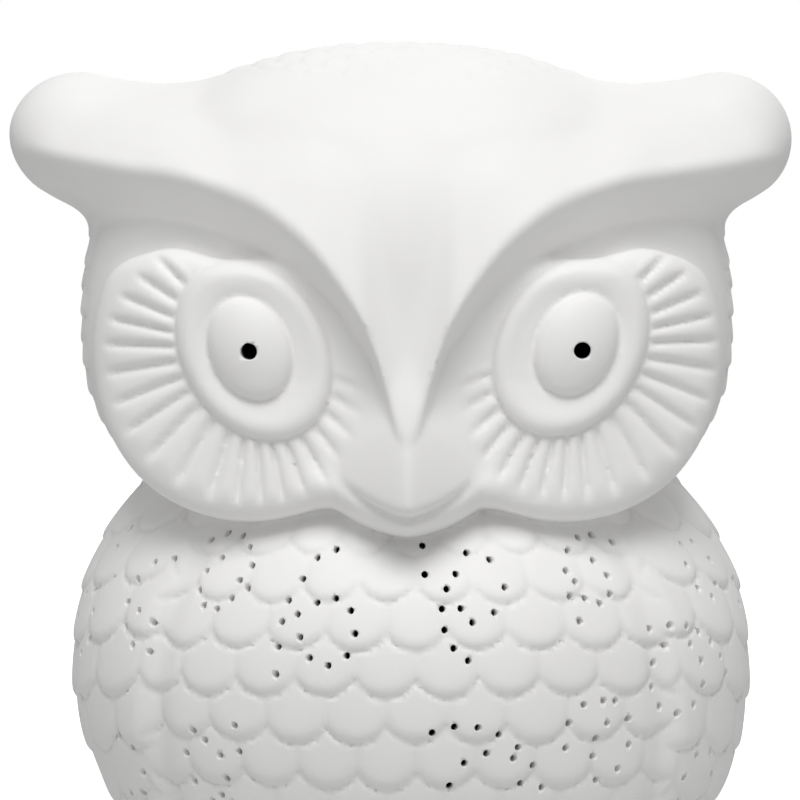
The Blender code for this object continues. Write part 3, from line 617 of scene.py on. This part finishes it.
def build_shell():
    """The pierced, hollow owl with the ledge, foot and cord notch cut into it."""
    low = (-112.0, -88.0, FOOT_Z - 3.0)
    high = (112.0, 88.0, 240.0)
    pts, faces = net_of(owl_outside, low, high, CELL)
    pts = settle(pts, owl_outside)
    shell = mesh_from("porcelain_owl", pts, faces)
    pts, faces = net_of(owl_inside, low, high, CELL_IN)
    hollow = mesh_from("hollow_cutter", settle(pts, owl_inside), faces)
    bores = [rods_object("mouth_cutter", [((0, 0, LEDGE_Z - 2), (0, 0, LEDGE_TOP + 3),
                                           LEDGE_R, LEDGE_R)], 96),
             rods_object("foot_cutter", [((0, 0, FOOT_Z - 4), (0, 0, LEDGE_Z),
                                          FOOT_IN, FOOT_IN)], 96)]
    notch = rods_object("notch_cutter", [((0, FOOT_IN - 6, GROMMET_Z),
                                          (0, FOOT_IN + 32, GROMMET_Z), NOTCH_R, NOTCH_R)], 32)
    bm = bmesh.new()
    bmesh.ops.create_cube(bm, size=1.0)
    for v in bm.verts:
        v.co = Vector((v.co.x * SLOT_W, FOOT_IN + 13 + v.co.y * SLOT_D,
                       4.0 + v.co.z * SLOT_H)) * MM
    slot_mesh = bpy.data.meshes.new("slot_cutter")
    bm.to_mesh(slot_mesh)
    bm.free()
    slot = bpy.data.objects.new("slot_cutter", slot_mesh)
    bpy.context.scene.collection.objects.link(slot)
    pins = motif_rods(MOTIFS, BODY_REACH, PIN_IN, PIN_OUT, PIN_R, BODY_MID)
    head = []
    for az, z, r, start, step, count in HEAD_MOTIFS:
        far = surface_reach(az, z)
        head += motif_rods([(az, z, r, start, step, count)], far, far - 16, far + 9,
                           PIN_R, HEAD_MID)
    eyes = []
    for side, (ex, ez, bx, bz) in EYES.items():
        x = side * (ex + bx + (0.4 if side < 0 else 1.0))
        z = ez + bz - (1.0 if side < 0 else 2.0)
        eyes.append(((x + 1.0, EYE_IN, z + 1.5), (x - 0.3, EYE_OUT, z - 0.8),
                     EYE_R_IN, EYE_R_OUT))
    # neighbouring pinholes go into separate cutters
    groups = [rods_object("pin_cutter", pins[::2], PIN_SIDES),
              rods_object("pin_cutter_b", pins[1::2], PIN_SIDES),
              rods_object("head_pin_cutter", head, PIN_SIDES),
              rods_object("eye_cutter", eyes, 24)]
    carve(shell, hollow, *bores, notch, slot, *groups)
    shell.data.shade_smooth()
    return shell


# ------------------------------------------------------------ materials
def new_material(name):
    """New material, its nodes, its links and its Principled shader."""
    mat = bpy.data.materials.new(name)
    mat.use_nodes = True
    nodes, links = mat.node_tree.nodes, mat.node_tree.links
    return mat, nodes, links, nodes["Principled BSDF"]


def coords(nodes):
    return nodes.new("ShaderNodeTexCoord").outputs["Object"]


def noise(nodes, links, scale, detail=4.0, rough=0.55):
    tex = nodes.new("ShaderNodeTexNoise")
    tex.inputs["Scale"].default_value = scale
    tex.inputs["Detail"].default_value = detail
    tex.inputs["Roughness"].default_value = rough
    links.new(coords(nodes), tex.inputs["Vector"])
    return tex.outputs["Fac"]


def two_tone(nodes, links, factor, dark, light, lo=0.3, hi=0.7):
    """Colour between dark and light by the factor."""
    mix = nodes.new("ShaderNodeValToRGB")
    mix.color_ramp.elements[0].position = lo
    mix.color_ramp.elements[0].color = (*dark, 1)
    mix.color_ramp.elements[1].position = hi
    mix.color_ramp.elements[1].color = (*light, 1)
    links.new(factor, mix.inputs["Fac"])
    return mix.outputs["Color"]


def add_bump(nodes, links, bsdf, height, strength, distance):
    node = nodes.new("ShaderNodeBump")
    node.inputs["Strength"].default_value = strength
    node.inputs["Distance"].default_value = distance
    links.new(height, node.inputs["Height"])
    links.new(node.outputs["Normal"], bsdf.inputs["Normal"])


def surface(name, dark, light, scale, rough=(0.4, 0.5), metal=0.0, grain=None, lo=0.3, hi=0.7):
    """Two tones by noise, roughness by noise and an optional fine grain."""
    mat, nodes, links, bsdf = new_material(name)
    cloud = noise(nodes, links, scale)
    links.new(two_tone(nodes, links, cloud, dark, light, lo, hi), bsdf.inputs["Base Color"])
    spread = nodes.new("ShaderNodeMapRange")
    spread.inputs["To Min"].default_value, spread.inputs["To Max"].default_value = rough
    links.new(noise(nodes, links, scale * 2.3), spread.inputs["Value"])
    links.new(spread.outputs["Result"], bsdf.inputs["Roughness"])
    bsdf.inputs["Metallic"].default_value = metal
    if grain:
        add_bump(nodes, links, bsdf, noise(nodes, links, grain[0], 2.0), grain[1], grain[2])
    return mat


porcelain = surface("bisque_porcelain", (0.845, 0.84, 0.83), (0.875, 0.872, 0.865), 22,
                    (0.52, 0.62), grain=(1900, 0.10, 0.0002))
porcelain.node_tree.nodes["Principled BSDF"].inputs["Specular IOR Level"].default_value = 0.35

shell = build_shell()
shell.data.materials.clear()
shell.data.materials.append(porcelain)
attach(shell, "owl_shell")
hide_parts("porcelain_owl_shell")

NODE_MATERIALS = {
    "white_plastic": surface("moulded_white", (0.74, 0.74, 0.72), (0.80, 0.80, 0.78), 60,
                             (0.35, 0.5), grain=(2600, 0.25, 0.0001)),
    "rubber": surface("grey_rubber", (0.09, 0.09, 0.09), (0.14, 0.14, 0.135), 180,
                      (0.7, 0.9), grain=(1500, 0.4, 0.0002)),
    "silicone": surface("milky_silicone", (0.66, 0.67, 0.67), (0.78, 0.78, 0.77), 240,
                        (0.4, 0.55)),
    "steel": surface("zinc_steel", (0.52, 0.53, 0.54), (0.68, 0.68, 0.67), 300, (0.25, 0.45), 1.0,
                     (1200, 0.2, 0.0001)),
    "brass": surface("bright_brass", (0.62, 0.44, 0.19), (0.78, 0.60, 0.31), 260,
                     (0.2, 0.38), 1.0, (1400, 0.15, 0.0001)),
    "nickel": surface("nickel_plate", (0.60, 0.59, 0.56), (0.74, 0.73, 0.70), 280,
                      (0.16, 0.3), 1.0),
    "phenolic": surface("black_phenolic", (0.018, 0.018, 0.018), (0.035, 0.034, 0.033), 150,
                        (0.3, 0.48), grain=(1800, 0.2, 0.0001)),
    "steatite": surface("steatite", (0.70, 0.66, 0.56), (0.82, 0.78, 0.69), 160, (0.45, 0.65),
                        grain=(1600, 0.3, 0.0001)),
    "phosphor": surface("led_phosphor", (0.80, 0.44, 0.05), (0.95, 0.66, 0.14), 700, (0.5, 0.7),
                        grain=(1800, 0.5, 0.0002)),
}
glass = surface("clear_glass", (0.96, 0.965, 0.96), (0.99, 0.99, 0.985), 40, (0.01, 0.05))
glass.node_tree.nodes["Principled BSDF"].inputs["Transmission Weight"].default_value = 1.0
glass.node_tree.nodes["Principled BSDF"].inputs["IOR"].default_value = 1.46
NODE_MATERIALS["glass"] = glass

FINISH = {
    "base_pan": "white_plastic", "base_cover": "white_plastic", "cord_grommet": "rubber",
    "threaded_nipple": "steel", "nipple_washer": "steel", "nipple_lock_nut": "brass",
    "holder_cap": "phenolic", "holder_sleeve": "phenolic", "contact_carrier": "steatite",
    "screw_shell_contact": "brass", "centre_contact_spring": "brass",
    "lamp_contact_tip": "steel", "lamp_insulator": "phenolic", "lamp_screw_cap": "nickel",
    "lamp_glass": "glass", "lamp_stem": "glass",
}
PREFIX = {"cover_screw": "steel", "rubber_foot": "rubber", "seat_pad": "silicone",
          "terminal_screw": "brass", "led_filament": "phosphor"}
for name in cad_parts:
    if name == "porcelain_owl_shell":
        continue
    kind = FINISH.get(name) or next(v for k, v in PREFIX.items() if name.startswith(k))
    ob = bpy.data.objects[name]
    if not ob.material_slots:
        ob.data.materials.append(NODE_MATERIALS[kind])
    for slot in ob.material_slots:
        slot.material = NODE_MATERIALS[kind]

# ------------------------------------------------------------ stage
AMBIENT = 0.42                          # backdrop's light on the owl
FLOOR_HALF = 6.0                        # m
GLOW_FROM, GLOW_TO = (0.08, 0.90), (0.48, 1.20)   # distance in m, floor's own light


def stage():
    """Pale floor and white backdrop; both whiten away from the owl for the eye only."""
    bm = bmesh.new()
    size = FLOOR_HALF
    ring = [(-size, -size), (size, -size), (size, size), (-size, size)]
    bm.faces.new([bm.verts.new((x, y, 0.0)) for x, y in ring])
    mesh = bpy.data.meshes.new("floor")
    bm.to_mesh(mesh)
    bm.free()
    floor = bpy.data.objects.new("floor", mesh)
    bpy.context.scene.collection.objects.link(floor)
    mat, nodes, links, bsdf = new_material("pale_floor")
    links.new(two_tone(nodes, links, noise(nodes, links, 3), (0.60, 0.60, 0.60),
                       (0.63, 0.63, 0.63)), bsdf.inputs["Base Color"])
    bsdf.inputs["Roughness"].default_value = 0.9
    reach = nodes.new("ShaderNodeVectorMath")
    reach.operation = "LENGTH"
    links.new(coords(nodes), reach.inputs[0])
    glow = nodes.new("ShaderNodeMapRange")
    glow.inputs["From Min"].default_value, glow.inputs["From Max"].default_value = GLOW_FROM
    glow.inputs["To Min"].default_value, glow.inputs["To Max"].default_value = GLOW_TO
    links.new(reach.outputs["Value"], glow.inputs["Value"])
    seen = nodes.new("ShaderNodeMath")
    seen.operation = "MULTIPLY"
    links.new(glow.outputs["Result"], seen.inputs[0])
    links.new(nodes.new("ShaderNodeLightPath").outputs["Is Camera Ray"], seen.inputs[1])
    bsdf.inputs["Emission Color"].default_value = (1, 1, 1, 1)
    links.new(seen.outputs["Value"], bsdf.inputs["Emission Strength"])
    mesh.materials.append(mat)
    world = bpy.data.worlds.new("studio")
    bpy.context.scene.world = world
    world.use_nodes = True
    nodes, links = world.node_tree.nodes, world.node_tree.links
    sky = nodes["Background"]
    sky.inputs["Color"].default_value = (1.0, 1.0, 1.0, 1)
    path = nodes.new("ShaderNodeLightPath")
    level = nodes.new("ShaderNodeMapRange")
    level.inputs["To Min"].default_value, level.inputs["To Max"].default_value = AMBIENT, 1.0
    links.new(path.outputs["Is Camera Ray"], level.inputs["Value"])
    links.new(level.outputs["Result"], sky.inputs["Strength"])
    bpy.context.scene.view_settings.view_transform = "Standard"


def lamp(name, place, aim, size, power):
    """Square area light at place, facing aim."""
    data = bpy.data.lights.new(name, "AREA")
    data.shape = "SQUARE"
    data.size = size
    data.energy = power
    ob = bpy.data.objects.new(name, data)
    ob.location = place
    ob.rotation_euler = (Vector(aim) - Vector(place)).to_track_quat("-Z", "Y").to_euler()
    bpy.context.scene.collection.objects.link(ob)


stage()
lamp("key_soft", (0.0, -0.80, 1.36), (0, 0, 0.12), 0.9, 14.2)
lamp("rear_soft", (0.3, 1.3, 0.9), (0, 0, 0.12), 1.2, 4.0)

CAM_DISTANCE, CAM_X, CAM_Z, VIEW_W = 1.1, -0.0019, 0.137, 0.2192
camera = bpy.data.cameras.new("camera")
camera.sensor_width = 36.0
camera.lens = 36.0 * CAM_DISTANCE / VIEW_W
camera.clip_start = 0.01
cam = bpy.data.objects.new("camera", camera)
cam.location = (CAM_X, -CAM_DISTANCE, CAM_Z)
cam.rotation_euler = (math.radians(90), 0, 0)
bpy.context.scene.collection.objects.link(cam)
bpy.context.scene.camera = cam
